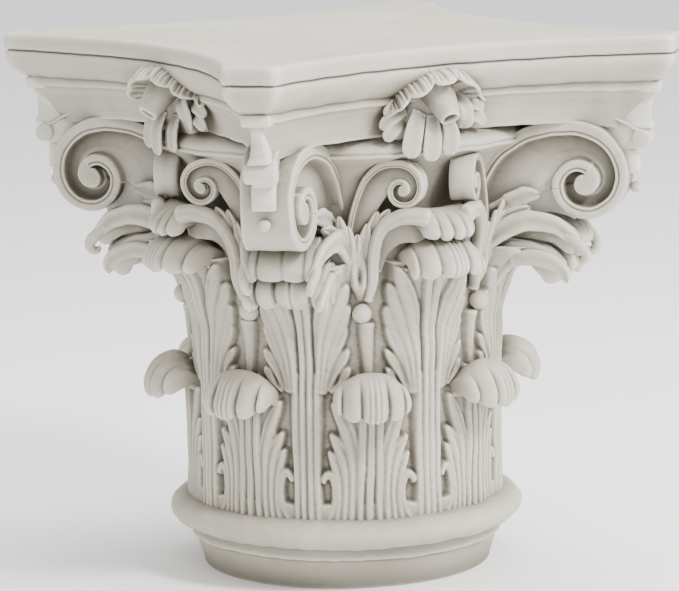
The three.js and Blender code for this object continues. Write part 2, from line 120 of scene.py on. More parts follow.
class Piece:
    """The mesh of one piece, gathered from closed shells."""

    def __init__(self):
        self.points = []
        self.faces = []
        self.count = 0

    def add(self, points, faces):
        """Adds one closed shell, turned right side out."""
        points = np.asarray(points, float).reshape(-1, 3)
        volume = 0.0
        for f in faces:
            p = points[f]
            for k in range(1, f.shape[1] - 1):
                volume += np.einsum("ij,ij->i", p[:, 0], np.cross(p[:, k], p[:, k + 1])).sum()
        self.points.append(points)
        self.faces += [(f if volume > 0 else f[:, ::-1]) + self.count for f in faces]
        self.count += len(points)

    def tube(self, rings, closed=False):
        """A skin through closed rings of points: ends capped, or joined into a loop."""
        rings = np.asarray(rings, float)
        m, n = rings.shape[:2]
        i, j = np.meshgrid(np.arange(m if closed else m - 1), np.arange(n), indexing="ij")
        a = (i * n + j).ravel()
        b = (i * n + (j + 1) % n).ravel()
        c = ((i + 1) % m * n + (j + 1) % n).ravel()
        d = ((i + 1) % m * n + j).ravel()
        points = rings.reshape(-1, 3)
        faces = [np.stack([a, b, c, d], 1)]
        if not closed:
            points = np.vstack([points, rings[0].mean(0), rings[-1].mean(0)])
            k = np.arange(n)
            faces.append(np.stack([np.full(n, m * n), (k + 1) % n, k], 1))
            last = (m - 1) * n
            faces.append(np.stack([np.full(n, m * n + 1), last + k, last + (k + 1) % n], 1))
        self.add(points, faces)

    def turned(self, angle, mirror=False):
        """A copy turned about the axis, mirrored across the XZ plane first if asked."""
        copy = Piece()
        copy.count = self.count
        c, s = math.cos(math.radians(angle)), math.sin(math.radians(angle))
        flip = -1 if mirror else 1
        matrix = np.array([[c, -s * flip, 0], [s, c * flip, 0], [0, 0, 1]])
        copy.points = [p @ matrix.T for p in self.points]
        copy.faces = [f[:, ::-1] if mirror else f for f in self.faces]
        return copy

    def make(self, name):
        """The Blender object, riding on the casting's body and standing for its solid."""
        points = wobble(np.vstack(self.points)) * UNIT + np.array(
            [(NODE_LOW.x + NODE_HIGH.x) / 2, (NODE_LOW.y + NODE_HIGH.y) / 2, NODE_LOW.z])
        mesh = bpy.data.meshes.new(name)
        sizes = np.concatenate([np.full(len(f), f.shape[1]) for f in self.faces])
        corners = np.concatenate([f.ravel() for f in self.faces])
        mesh.vertices.add(len(points))
        mesh.vertices.foreach_set("co", points.ravel())
        mesh.loops.add(len(corners))
        mesh.loops.foreach_set("vertex_index", corners)
        mesh.polygons.add(len(sizes))
        mesh.polygons.foreach_set("loop_start", np.concatenate([[0], np.cumsum(sizes)[:-1]]))
        mesh.polygons.foreach_set("use_smooth", np.ones(len(sizes), bool))
        mesh.update(calc_edges=True)
        mesh.materials.append(STONE)
        piece = bpy.data.objects.new(name, mesh)
        bpy.context.scene.collection.objects.link(piece)
        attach(piece, "root")
        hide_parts(NODE)
        return piece


# ---------------------------------------------------------------- material


def cast_stone():
    """Cream cast stone with painted shade darkening the hollows and creases, a painted highlight
    on sharp edges, random tone speckles and small pits.
    """
    material = bpy.data.materials.new("cast_stone")
    material.use_nodes = True
    nodes, links = material.node_tree.nodes, material.node_tree.links
    shader = nodes["Principled BSDF"]
    place = nodes.new("ShaderNodeTexCoord")

    def noise(scale, detail, roughness=0.55):
        n = nodes.new("ShaderNodeTexNoise")
        n.inputs["Scale"].default_value = scale
        n.inputs["Detail"].default_value = detail
        n.inputs["Roughness"].default_value = roughness
        links.new(place.outputs["Object"], n.inputs["Vector"])
        return n.outputs["Fac"]

    def ramp(source, stops):
        r = nodes.new("ShaderNodeValToRGB")
        for element, (position, colour) in zip(r.color_ramp.elements, stops):
            element.position = position
            element.color = colour
        links.new(source, r.inputs["Fac"])
        return r.outputs["Color"]

    def blend(kind, factor, a, b):
        m = nodes.new("ShaderNodeMix")
        m.data_type = "RGBA"
        m.blend_type = kind
        for socket, value in (("Factor", factor), ("A", a), ("B", b)):
            target = m.inputs[socket] if socket == "Factor" else next(
                s for s in m.inputs if s.name == socket and s.type == "RGBA")
            if isinstance(value, bpy.types.NodeSocket):
                links.new(value, target)
            else:
                target.default_value = value
        return next(s for s in m.outputs if s.type == "RGBA")

    def grey(v):
        return (v, v, v, 1)

    clouds = ramp(noise(7.0, 4), [(0.35, (0.42, 0.385, 0.315, 1)), (0.65, (0.50, 0.465, 0.39, 1))])
    # Painted shade: ambient occlusion darkens the base colour in hollows and between parts.
    hollow = nodes.new("ShaderNodeAmbientOcclusion")
    hollow.samples = 6
    hollow.inputs["Distance"].default_value = 0.030
    painted_hollow_shade = ramp(hollow.outputs["AO"], [(0.28, grey(1)), (0.97, grey(0))])
    hollow_shaded = blend("MIX", painted_hollow_shade, clouds, (0.105, 0.093, 0.068, 1))
    edges = nodes.new("ShaderNodeNewGeometry")
    # Painted highlight: convex edges (high pointiness) are made paler in the base colour.
    painted_edge_highlight = ramp(edges.outputs["Pointiness"], [(0.505, grey(0)), (0.57, grey(1))])
    lit = blend("MIX", painted_edge_highlight, hollow_shaded, (0.70, 0.665, 0.58, 1))
    # Painted shade: concave creases (low pointiness) are darkened in the base colour.
    painted_crease_shade = ramp(edges.outputs["Pointiness"], [(0.44, grey(1)), (0.495, grey(0))])
    crease_shaded = blend("MIX", painted_crease_shade, lit, (0.10, 0.088, 0.064, 1))
    speckle = ramp(noise(420.0, 2, 0.6), [(0.62, grey(0)), (0.72, grey(1))])
    half = nodes.new("ShaderNodeMath")
    half.operation = "MULTIPLY"
    links.new(speckle, half.inputs[0])
    half.inputs[1].default_value = 0.28
    final = blend("MIX", half.outputs[0], crease_shaded, (0.42, 0.38, 0.31, 1))
    links.new(final, shader.inputs["Base Color"])
    rough = ramp(noise(60.0, 3), [(0.3, grey(0.62)), (0.7, grey(0.78))])
    links.new(rough, shader.inputs["Roughness"])
    shader.inputs["Specular IOR Level"].default_value = 0.35

    grain = nodes.new("ShaderNodeBump")
    grain.inputs["Strength"].default_value = 0.35
    grain.inputs["Distance"].default_value = 0.0004
    links.new(noise(900.0, 3, 0.6), grain.inputs["Height"])
    pits = nodes.new("ShaderNodeBump")
    pits.inputs["Strength"].default_value = 0.5
    pits.inputs["Distance"].default_value = 0.0008
    pits.invert = True
    links.new(ramp(noise(230.0, 2), [(0.64, grey(0)), (0.74, grey(1))]), pits.inputs["Height"])
    links.new(grain.outputs["Normal"], pits.inputs["Normal"])
    links.new(pits.outputs["Normal"], shader.inputs["Normal"])
    return material


STONE = cast_stone()

# ---------------------------------------------------------------- base ring, bell and abacus


def lathe(profile, steps):
    """A turned shell from a profile of [radius, height] from the axis back to the axis."""
    piece = Piece()
    angles = np.linspace(0, 360, steps, endpoint=False)[:, None]
    inner = np.asarray(profile[1:-1], float)
    rings = polar(angles, inner[None, :, 0], inner[None, :, 1]).transpose(1, 0, 2)
    piece.tube(rings)
    return piece


def arc(centre, radii, start, end, count):
    a = np.radians(np.linspace(start, end, count))
    return [[centre[0] + radii[0] * math.cos(t), centre[1] + radii[1] * math.sin(t)] for t in a]


def line(a, b, count):
    return [[mix(a[0], b[0], t), mix(a[1], b[1], t)] for t in np.linspace(0, 1, count)]


def base_ring():
    """Plain band, fillet and torus, with the edges of the casting a little rounded."""
    profile = [[0, 0]]
    profile += line((100, 0), (134, 0), 4)
    profile += arc((134, 2), (2, 2), -80, 0, 4)
    profile += line((136.6, 5), (142.6, 26), 12)
    profile += arc((144.2, 27.6), (1.6, 1.2), 180, 90, 3)
    profile += arc((145.8, 30.2), (1.6, 1.4), -90, 0, 3)
    profile += line((147.6, 33), (147.4, 38.4), 4)
    profile += arc((148.8, 40.4), (1.4, 1.4), 180, 100, 3)
    profile += arc((146, 54), (21, 14), -66, 78, 26)
    profile += line((148, 68.2), (130, 70), 4)
    profile += [[100, 70], [0, 70]]
    return lathe(profile, 240)


def bell_lip():
    """The bell's flare and lip under the abacus."""
    profile = [[0, 300]]
    profile += line((120, 300), (146, 302), 3)
    profile += line((146.5, 320), (148, 352), 8)
    profile += [list(p) for p in curve([(148, 354), (150, 368), (155, 383), (163, 394),
                                        (173, 400)], 16)]
    profile += arc((174.5, 404.6), (3.6, 3.0), -80, 40, 7)
    profile += [list(p) for p in curve([(178, 408), (176, 413), (170, 418), (164, 421)], 8)]
    profile += [[150, 424], [0, 424]]
    return lathe(profile, 220)


CORNER_REACH = 318.0
CORNER_HALF = 23.0
SIDE_SAG = 53.0
SIDE_HALF_CHORD = (CORNER_REACH - CORNER_HALF) / math.sqrt(2)
SIDE_END = (CORNER_REACH + CORNER_HALF) / math.sqrt(2)
SIDE_RADIUS = (SIDE_HALF_CHORD**2 + SIDE_SAG**2) / (2 * SIDE_SAG)
SIDE_CENTRE = SIDE_END - SIDE_SAG + SIDE_RADIUS


def abacus_outline(inset, steps, cut_steps):
    """The abacus outline drawn in by inset: hollow sides as arcs, corners cut straight."""
    reach = CORNER_REACH - inset
    k = math.sqrt(2) * SIDE_CENTRE
    rest = reach**2 - k * reach + SIDE_CENTRE**2 - (SIDE_RADIUS + inset) ** 2
    half = (k - math.sqrt(k**2 - 4 * rest)) / 2
    sweep = math.asin((reach - half) / math.sqrt(2) / (SIDE_RADIUS + inset))
    side = np.linspace(-sweep, sweep, steps)
    x = SIDE_CENTRE - (SIDE_RADIUS + inset) * np.cos(side)
    y = (SIDE_RADIUS + inset) * np.sin(side)
    cut = np.linspace(0, 1, cut_steps + 2)[1:-1]
    nxt = np.array([-y[0], x[0]])
    cx, cy = mix(x[-1], nxt[0], cut), mix(y[-1], nxt[1], cut)
    quarter = np.stack([np.append(x, cx), np.append(y, cy)], 1)
    turns = [np.array([[math.cos(t), -math.sin(t)], [math.sin(t), math.cos(t)]])
             for t in np.radians([0, 90, 180, 270])]
    return np.vstack([quarter @ r.T for r in turns])


def abacus():
    """Fascia, incised line, ovolo, fillet and cavetto, from the bottom up."""
    profile = [[36, 419.6], [33, 419.8], [31.4, 420.6]]
    profile += [list(p) for p in curve([(31, 422), (30.2, 430), (27, 440), (22, 447),
                                        (19.4, 450.2)], 12)]
    profile += [[17.4, 450.8], [17.0, 452.0], [16.8, 455.6], [17.2, 457.2], [15.4, 458.4]]
    profile += [list(p) for p in curve([(14.2, 459), (8.4, 463), (3.2, 469), (0.2, 474),
                                        (-1.0, 479), (-0.6, 481.6)], 12)]
    profile += [[0.4, 482.7], [1.6, 483.3], [0.6, 484.0], [-1.2, 485.0]]
    profile += [[-1.7, 488], [-1.6, 493], [-0.8, 496.6], [0.4, 498.5], [2.2, 499.6], [5, 500]]
    piece = Piece()
    rings = []
    for inset, z in profile:
        ring = abacus_outline(inset, 56, 6)
        reach = np.linalg.norm(ring, axis=1)
        droop = 9.0 * smooth(reach, 205, 285) * (1 - smooth(z, 420, 462))
        rings.append(np.column_stack([ring, z - droop]))
    top = rings[-1]
    rings += [top * [share, share, 1] for share in (0.94, 0.8, 0.55, 0.25)]
    rings = [rings[0] * [share, share, 1] for share in (0.3, 0.7)] + rings
    piece.tube(rings)
    return piece


# ---------------------------------------------------------------- carved relief of the bell

WALL = 141.0  # the bell's surface behind the leaves
RELIEF_FOOT = 63.0
RELIEF_TOP = 306.0
LEAF_SCALE = 150.0  # leaves are laid out at this radius


def lay(relief, x, z, path, width, height, groove=0.0, shoulder=0.0, tip=0.3):
    """Lays one rounded strand or lobe on the relief.

    path is the middle line as (x, z) points, width and height are the half width and the
    height at the root and near the tip. groove sinks a line along it, and shoulder says how
    far towards its upper side.
    """
    p = curve(path, 26)
    reach = max(width) + 1.0
    near = ((x > p[:, 0].min() - reach) & (x < p[:, 0].max() + reach)
            & (z > p[:, 1].min() - reach) & (z < p[:, 1].max() + reach))
    spots = np.stack([x[near], z[near]], 1)
    best = np.full(len(spots), 1e9)
    along = np.zeros(len(spots))
    side = np.zeros(len(spots))
    n = len(p) - 1
    for k in range(n):
        step = p[k + 1] - p[k]
        size = step @ step
        t = np.clip((spots - p[k]) @ step / size, 0, 1)
        off = spots - p[k] - t[:, None] * step
        d = np.einsum("ij,ij->i", off, off)
        closer = d < best
        best[closer] = d[closer]
        along[closer] = (k + t[closer]) / n
        side[closer] = np.sign(step[0] * off[closer, 1] - step[1] * off[closer, 0])
    w = mix(width[0], width[1], smooth(along, 0.15, 1 - tip))
    w = w * np.sqrt(np.clip(1 - (np.clip(along - (1 - tip), 0, 1) / tip) ** 2, 0, 1))
    q = side * np.sqrt(best) / np.maximum(w, 1e-3)
    inside = np.abs(q) < 1
    dome = np.sqrt(np.clip(1 - np.abs(q) ** 2.4, 0, 1))
    h = mix(height[0], height[1], smooth(along, 0.1, 0.8)) * mix(0.5, 1.0, dome)
    if groove:
        run = smooth(along, 0.05, 0.2) * (1 - smooth(along, 0.8, 0.95))
        h = h - groove * run * np.exp(-(((q - shoulder) / 0.22) ** 2))
    values = relief[near]
    relief[near] = np.where(inside, np.maximum(values, h), values)


def fill(relief, x, z, edge, height):
    """Raises everything within x < edge(z), with edge as (z, half width) pairs."""
    edge = np.asarray(edge, float)
    half = np.interp(z, edge[:, 0], edge[:, 1], left=-9, right=-9)
    relief[:] = np.maximum(relief, height * (1 - smooth(x, half - 1.5, half + 1.5)))


def lower_leaf(relief, x, z):
    """One half of a lower leaf, with x measured outwards from its middle."""
    fill(relief, x, z, [(60, 60), (76, 60), (84, 31), (100, 29), (118, 31), (136, 30),
                        (152, 29), (180, 33)], 5.0)
    fill(relief, x, z, [(60, 60), (78, 60), (82, 36)], 7.0)
    lay(relief, x, z, [(39, 66), (33, 80), (31.5, 95), (34, 106), (38.5, 109.5), (42.5, 105),
                       (42.5, 100)], (3.4, 4.0), (8.2, 7.6), 0.9, -0.2, 0.18)
    lay(relief, x, z, [(31, 66), (27.5, 84), (28, 102), (32, 118), (38.5, 131)],
        (3.2, 5.6), (8.4, 7.2), 1.3, 0.35)
    lay(relief, x, z, [(24, 66), (21.5, 92), (23, 116), (29, 133), (37, 147)],
        (3.2, 6.4), (8.8, 7.4), 1.4, 0.35)
    lay(relief, x, z, [(17.5, 66), (15.5, 98), (17, 130), (24, 155), (34.5, 176)],
        (3.6, 7.6), (9.2, 7.6), 1.4, 0.3)
    lay(relief, x, z, [(9.5, 66), (8.6, 100), (8.2, 140), (9.5, 200)], (3.9, 4.2), (9.6, 9.6),
        0.8, -0.1, 0.05)
    lay(relief, x, z, [(0, 66), (0, 100), (0, 140), (0, 200)], (4.4, 4.2), (9.8, 9.8),
        0.9, 0.0, 0.05)


def stem(relief, x, z):
    """The strands of an upper leaf's stem, between the lower leaves."""
    fill(relief, x, z, [(60, 16), (84, 15), (100, 13.5), (190, 16)], 6.0)
    lay(relief, x, z, [(3.6, 64), (3.4, 120), (3.3, 205)], (3.5, 3.3), (9.0, 9.4), 0, 0, 0.05)
    lay(relief, x, z, [(11, 64), (9.8, 100), (9.8, 150), (10, 205)], (3.6, 3.4), (8.6, 9.0),
        0.7, 0.0, 0.05)


def upper_leaf(relief, x, z):
    """One half of an upper leaf, on a side's middle or under a corner."""
    fill(relief, x, z, [(184, 15), (196, 26), (206, 33), (222, 35), (236, 34), (252, 34),
                        (266, 38), (284, 40), (310, 38)], 4.2)
    lay(relief, x, z, [(25, 186), (33, 193), (41.5, 207)], (2.6, 4.4), (5.4, 5.8), 0.7, 0.2)
    lay(relief, x, z, [(22, 188), (30, 204), (42, 224)], (3.0, 5.0), (6.0, 6.4), 0.9, 0.25)
    lay(relief, x, z, [(18, 190), (26, 214), (34, 230), (41, 245)], (3.0, 5.0), (6.6, 6.8),
        0.9, 0.25)
    lay(relief, x, z, [(17.5, 186), (23, 214), (31, 240), (42.5, 265)], (3.4, 8.2), (7.4, 7.0),
        1.2, 0.5)
    lay(relief, x, z, [(14.5, 186), (18, 218), (26, 250), (41, 286)], (3.6, 8.8), (8.6, 8.6),
        1.2, 0.5)
    lay(relief, x, z, [(10.5, 186), (13, 224), (19, 262), (35, 303)], (3.6, 8.4), (9.6, 9.8),
        1.2, 0.45)
    lay(relief, x, z, [(3.3, 186), (3.5, 230), (4.2, 270), (7, 312)], (3.4, 4.4), (9.6, 10.2),
        0.8, 0.1, 0.05)


def stalk_relief(relief, x, z):
    """The cone of a stalk, above the lower leaf's curl."""
    half = np.interp(z, [180, 248, 249.5, 251], [3.0, 8.2, 8.2, 0.0], left=0, right=0)
    relief[:] = np.maximum(relief, 1.15 * np.sqrt(np.clip(half**2 - x**2, 0, None)) + 0.0)


def bell_relief():
    """Both tiers of leaves, and the stalks, as one carved skin round the bell."""
    fine = 2  # the relief is worked out this much finer, then averaged
    columns, rows = 720, 184
    theta = np.arange(columns * fine) * (360 / (columns * fine))
    height = np.linspace(RELIEF_FOOT, RELIEF_TOP, rows * fine)
    angle, z = np.meshgrid(theta, height, indexing="ij")
    mm = math.radians(1) * LEAF_SCALE
    # A small swing of the layout keeps neighbouring leaves from being alike.
    swing = 0.9 * np.sin(np.radians(angle * 3 + 40)) * np.sin(z / 37)
    swing += 0.7 * np.sin(np.radians(angle * 7 + 10)) * np.cos(z / 23)
    lift = 1.3 * np.sin(np.radians(angle * 5 + 200)) + 0.8 * np.sin(np.radians(angle * 11 + 80))
    x_low = np.abs(fold(angle - STALK, CORNER) * mm + swing)
    x_up = np.abs(fold(angle, CORNER) * mm + swing)
    zz = z + lift * smooth(z, 75, 110)
    relief = np.zeros_like(z)
    upper_leaf(relief, x_up, zz)
    stalk_relief(relief, x_low, z)
    stem(relief, x_up, zz)
    lower_leaf(relief, x_low, zz)
    # Rough ground between the leaves.
    ground = 1 - smooth(relief, 0.5, 3)
    rough = np.sin(z * 1.9 + 3 * np.sin(angle * 1.3)) * np.sin(angle * 4.3 + 2 * np.sin(z * 0.7))
    relief = relief + 0.45 * rough * ground * smooth(z, 84, 90)
    kernel = np.array([0.06, 0.24, 0.4, 0.24, 0.06])
    relief = sum(w * np.roll(relief, k - 2, 0) for k, w in enumerate(kernel))
    padded = np.pad(relief, ((0, 0), (2, 2)), mode="edge")
    relief = sum(w * padded[:, k:k + relief.shape[1]] for k, w in enumerate(kernel))
    relief, angle, z = relief[::fine, ::fine], angle[::fine, ::fine], z[::fine, ::fine]
    x_side = np.abs(fold(angle, QUARTER)) * mm
    x_corner = np.abs(fold(angle - CORNER, QUARTER)) * mm
    wall = WALL + 5 * smooth(z, 235, 270)
    side_flare = np.interp(z, [200, 240, 268, 284, 297, 306], [0, 1, 4, 10, 19, 30])
    corner_flare = np.interp(z, [200, 238, 266, 280, 289, 296, 300, 306],
                             [0, 0, 4, 11, 19, 32, 42, 50])
    arch = np.clip(1 - (x_side / 44) ** 2.4, 0, 1)
    arch_corner = np.clip(1 - (x_corner / 43) ** 3, 0, 1)
    radius = wall + relief + side_flare * arch + corner_flare * arch_corner
    radius = radius - 1.2 * smooth(z, 66, 63)
    rings = polar(angle, radius, z)
    inner_foot = polar(angle[:, :1], 120.0, z[:, :1])
    inner_top = polar(angle[:, :1], 120.0, z[:, -1:])
    rings = np.concatenate([rings, inner_top, inner_foot], 1)
    quarters = []
    share = columns // SIDES
    for k in range(SIDES):
        piece = Piece()
        part = np.take(rings, range(k * share, (k + 1) * share + 1), 0, mode="wrap")
        ends = [polar(k * QUARTER + turn, 126.0, part[0, :, 2]) for turn in (0, QUARTER)]
        for end in ends:
            end[-2:] *= [120 / 126, 120 / 126, 1]
        piece.tube(np.concatenate([ends[:1], part, ends[1:]]))
        quarters.append(piece)
    return quarters


# ---------------------------------------------------------------- curled tips of the leaves


def curl(middle, edge, half_angle, toes, steps=66, loop=50, notch=8.5, strands=()):
    """A leaf's curled tip over the bell, about the +X direction.

    middle and edge are closed loops of (radius, height), from the root over the top to the tip
    and back underneath. toes are (middle, half width) in millimetres at the tip's radius.
    """
    middle, edge = (np.asarray(p, float) for p in (middle, edge))
    tip_radius = middle[:, 0].max()
    rings = []
    share = np.linspace(0, 1, loop, endpoint=False)
    hold = smooth(share, 0.18, 0.42) * (1 - smooth(share, 0.66, 0.86))
    for u in np.linspace(-1, 1, steps):
        w = abs(u) ** 2.3
        p = curve(mix(middle, edge, w), loop, closed=True)
        tangent = np.roll(p, -1, 0) - np.roll(p, 1, 0)
        tangent /= np.linalg.norm(tangent, axis=1)[:, None]
        out = np.stack([-tangent[:, 1], tangent[:, 0]], 1)
        phi = u * half_angle
        x = math.radians(phi) * tip_radius
        bulge = 0.0
        for centre, half in toes:
            bulge = max(bulge, math.sqrt(max(0.0, 1 - ((x - centre) / half) ** 2)))
        sink = notch * (1 - bulge) * hold
        for centre, half, depth in strands:
            sink = sink + depth * math.exp(-(((x - centre) / half) ** 2)) * hold
        p = p - out * sink[:, None]
        end = math.sqrt(max(0.0, 1 - max(0.0, (abs(u) - 0.93) / 0.07) ** 2))
        centre_point = p.mean(0)
        p = centre_point + (p - centre_point) * mix(0.25, 1, end)
        rings.append(polar(phi, p[:, 0], p[:, 1]))
    piece = Piece()
    piece.tube(rings)
    return piece


LOWER_MIDDLE = [(136, 190), (147, 200), (158, 205), (170, 203.5), (181, 197), (188.5, 185),
                (190.5, 173), (187, 163.5), (181.5, 163), (177, 170), (169, 178), (158, 178),
                (147, 172), (136, 176)]
LOWER_EDGE = [(136, 178), (146, 184), (154, 188), (162, 188.5), (168, 186), (172, 181.5),
              (173, 177), (170.5, 173), (166, 172.5), (161.5, 174), (157, 175), (152, 173),
              (144, 170), (136, 168)]
LOWER_TOES = [(0, 13.5), (-22.5, 9.5), (22.5, 9.5), (-36.5, 6), (36.5, 6)]

SIDE_MIDDLE = [(136, 312), (150, 322), (162, 328), (176, 329), (190, 324), (201, 314.5),
               (206, 303), (203, 294.5), (197, 293), (191, 300), (182, 305), (170, 300),
               (158, 288), (136, 284)]
SIDE_EDGE = [(136, 302), (148, 308), (158, 313), (168, 314), (178, 311), (185, 305),
             (188, 299), (185, 294), (180, 293.5), (175, 297), (168, 299), (160, 294),
             (150, 284), (136, 282)]
SIDE_TOES = [(-1, 16), (-26, 10), (25, 11), (-39, 4), (40, 5)]

CORNER_MIDDLE = [(140, 312), (160, 317), (183, 315), (205, 311), (219, 303), (227, 292),
                 (224, 280), (213, 273), (204, 276), (198.5, 285), (191, 295), (178, 295),
                 (165, 288), (140, 284)]
CORNER_EDGE = [(150, 306), (164, 311), (180, 311), (198, 307), (212, 299), (220, 289),
               (218, 277), (209, 270), (201, 272), (196, 281), (187, 292), (176, 292),
               (165, 288), (150, 286)]
CORNER_TOES = [(-35, 8), (-18, 9.5), (8, 17), (34, 10)]

FACE_CANOPY_MIDDLE = [(140, 343), (155, 350), (168, 353), (180, 351), (190, 346), (197.5, 338),
                      (199.5, 331), (195.5, 326), (189.5, 327), (184, 332), (175, 334),
                      (165, 330), (155, 320), (140, 315)]
FACE_CANOPY_EDGE = [(140, 343), (154, 351), (166, 355), (176, 354), (184, 349), (189, 341),
                    (190, 334), (186, 329), (181, 330), (176, 335), (169, 337), (161, 332),
                    (152, 322), (140, 317)]
FACE_CANOPY_TOES = [(-21, 8), (-7, 7), (7, 7), (21, 8)]

CORNER_CANOPY_MIDDLE = [(160, 334), (180, 336), (200, 336), (218, 333), (230, 326), (237, 315),
                        (236, 306), (231, 300.5), (225, 302), (218, 306), (208, 309),
                        (194, 310), (176, 308), (160, 304)]
CORNER_CANOPY_EDGE = [(160, 330), (178, 333), (196, 333), (213, 329), (225, 321), (232, 311),
                      (230, 302), (224, 298), (218, 300), (212, 305), (202, 308),
                      (188, 309), (174, 306), (160, 302)]
CORNER_CANOPY_TOES = [(-28, 7.5), (-9, 14), (12, 12), (29, 8)]


# ---------------------------------------------------------------- leaves modelled in the round


def petal(piece, path, widths, thick, face, groove=0.0, dish=0.0, teeth=0, jag=0.0, tip=0.25,
          steps=30, around=18):
    """Sweeps a leaf or strand along a path of (x, y, z) points.

    widths are half widths from root to tip and face is the way its front looks. groove sinks
    a middle line, dish lifts the edges, and teeth notches the edges by the share jag.
    """
    p = curve(path, steps)
    t = np.linspace(0, 1, steps)
    knots = np.linspace(0, 1, len(widths))
    w = np.interp(t, knots, widths)
    w = np.convolve(np.pad(w, 2, mode="edge"), np.full(5, 0.2), "valid")
    w = w * np.sqrt(np.clip(1 - (np.clip(t - 1 + tip, 0, 1) / tip) ** 2, 0.004, 1))
    if teeth:
        w = w * (1 - jag * np.abs(np.sin(np.pi * teeth * t)) ** 0.6 * smooth(t, 0.1, 0.25))
    tangent = np.gradient(p, axis=0)
    tangent /= np.linalg.norm(tangent, axis=1)[:, None]
    face = np.atleast_2d(np.asarray(face, float))
    spots = np.linspace(0, 1, len(face))
    front = np.stack([np.interp(t, spots, face[:, k]) for k in range(3)], -1)
    front = front - np.einsum("ij,ij->i", front, tangent)[:, None] * tangent
    front /= np.linalg.norm(front, axis=1)[:, None]
    across = np.cross(tangent, front)
    phi = np.linspace(0, 2 * np.pi, around, endpoint=False)
    c, q = np.cos(phi), np.sin(phi)
    depth = thick * np.minimum(1, (w / max(widths)) ** 0.6)
    out = depth[:, None] * q[None] + dish * (w[:, None] / max(widths)) * c[None] ** 2
    out -= groove * np.exp(-((c[None] / 0.24) ** 2)) * (q[None] > 0) * smooth(t, 0, 0.3)[:, None]
    side = w[:, None] * c[None]
    piece.tube(p[:, None] + side[..., None] * across[:, None] + out[..., None] * front[:, None])


def cylinder_point(angle, radius, z):
    a = math.radians(angle)
    return (radius * math.cos(a), radius * math.sin(a), z)


def ball(piece, centre, radius, rows=18, around=26):
    rings = []
    for v in np.linspace(-88, 88, rows):
        v = math.radians(v)
        a = np.linspace(0, 2 * np.pi, around, endpoint=False)
        ring = np.stack([np.cos(a) * math.cos(v), np.sin(a) * math.cos(v),
                         np.full(around, math.sin(v))], 1)
        rings.append(np.asarray(centre) + ring * radius)
    piece.tube(rings)


def flower_hood(piece):
    """The flower's upper leaf: a pleated canopy with a scalloped front edge."""
    front = curve([(188, -58, 446), (197, -51, 453), (203, -38, 461.5), (207, -22, 469),
                   (207, -4, 471.5), (204, 12, 470), (196, 27, 462.5), (184, 39, 455),
                   (175, 49, 449)], 120)
    back = curve([(168, -50, 450), (174, -47, 462), (179, -36, 472), (183, -22, 478),
                  (184, -6, 480), (183, 8, 478), (177, 24, 470), (170, 36, 458),
                  (166, 42, 450)], 120)
    under = curve([(168, -42, 444), (168, -34, 450), (168, -22, 454), (168, -10, 456),
                   (168, 2, 456), (168, 14, 453), (166, 24, 450), (164, 34, 447),
                   (162, 38, 445)], 120)
    rings = []
    for k in range(120):
        t = k / 119
        f, b, u = front[k], back[k], under[k]
        out = (f - b) / np.linalg.norm(f - b)
        tooth = abs(math.sin(math.pi * (5.3 * t + 0.12)))
        f = f - out * 6.0 * (1 - tooth) ** 1.4 + np.array([0, 0, -1.5 * tooth])
        pleat = 0.9 * math.cos(2 * math.pi * t * 26) + 1.2 * math.cos(2 * math.pi * t * 10.6)
        lift = np.array([0, 0, 1.0])
        ring = [b, mix(b, f, 0.3) + lift * (3.0 + pleat * 0.6),
                mix(b, f, 0.65) + lift * (3.2 + pleat), mix(b, f, 0.9) + lift * (1.2 + pleat),
                f, f - lift * 2.2 - out * 0.8, mix(f, u, 0.25) + lift * (1.5 + 0.8 * pleat),
                mix(f, u, 0.6) + lift * (2.5 + 0.6 * pleat), u, [150, u[1], u[2] + 4],
                [150, b[1], b[2] - 3]]
        rings.append(curve(ring, 44, closed=True))
    piece.tube(rings)


def flower_tube(piece):
    """The rolled trumpet under the hood, with its open end turned down and outwards."""
    path = curve([(160, -8, 470), (178, -8, 460), (189, -7, 449), (199, -5, 437)], 22)
    sizes = np.interp(np.linspace(0, 1, 22), [0, 0.35, 0.75, 1], [17, 16, 12, 8.6])
    a = np.linspace(0, 2 * np.pi, 30, endpoint=False)
    tangent = np.gradient(path, axis=0)
    tangent /= np.linalg.norm(tangent, axis=1)[:, None]
    rings = []
    for p, d, size in zip(path, tangent, sizes):
        across = np.cross(d, [0, 1, 0])
        across /= np.linalg.norm(across)
        roll = size * (1 + 0.05 * np.sin(a + 0.6) + 0.04 * np.cos(3 * a))
        rings.append(p + (np.cos(a) * roll)[:, None] * np.array([0, 1.05, 0])
                     + (np.sin(a) * roll)[:, None] * across)
    end, d = path[-1], tangent[-1]
    for size, sunk in ((0.9, 1.0), (0.74, 0.4), (0.66, -3), (0.55, -8)):
        rings.append(end + (rings[21] - end) * size + d * sunk)
    piece.tube(rings)


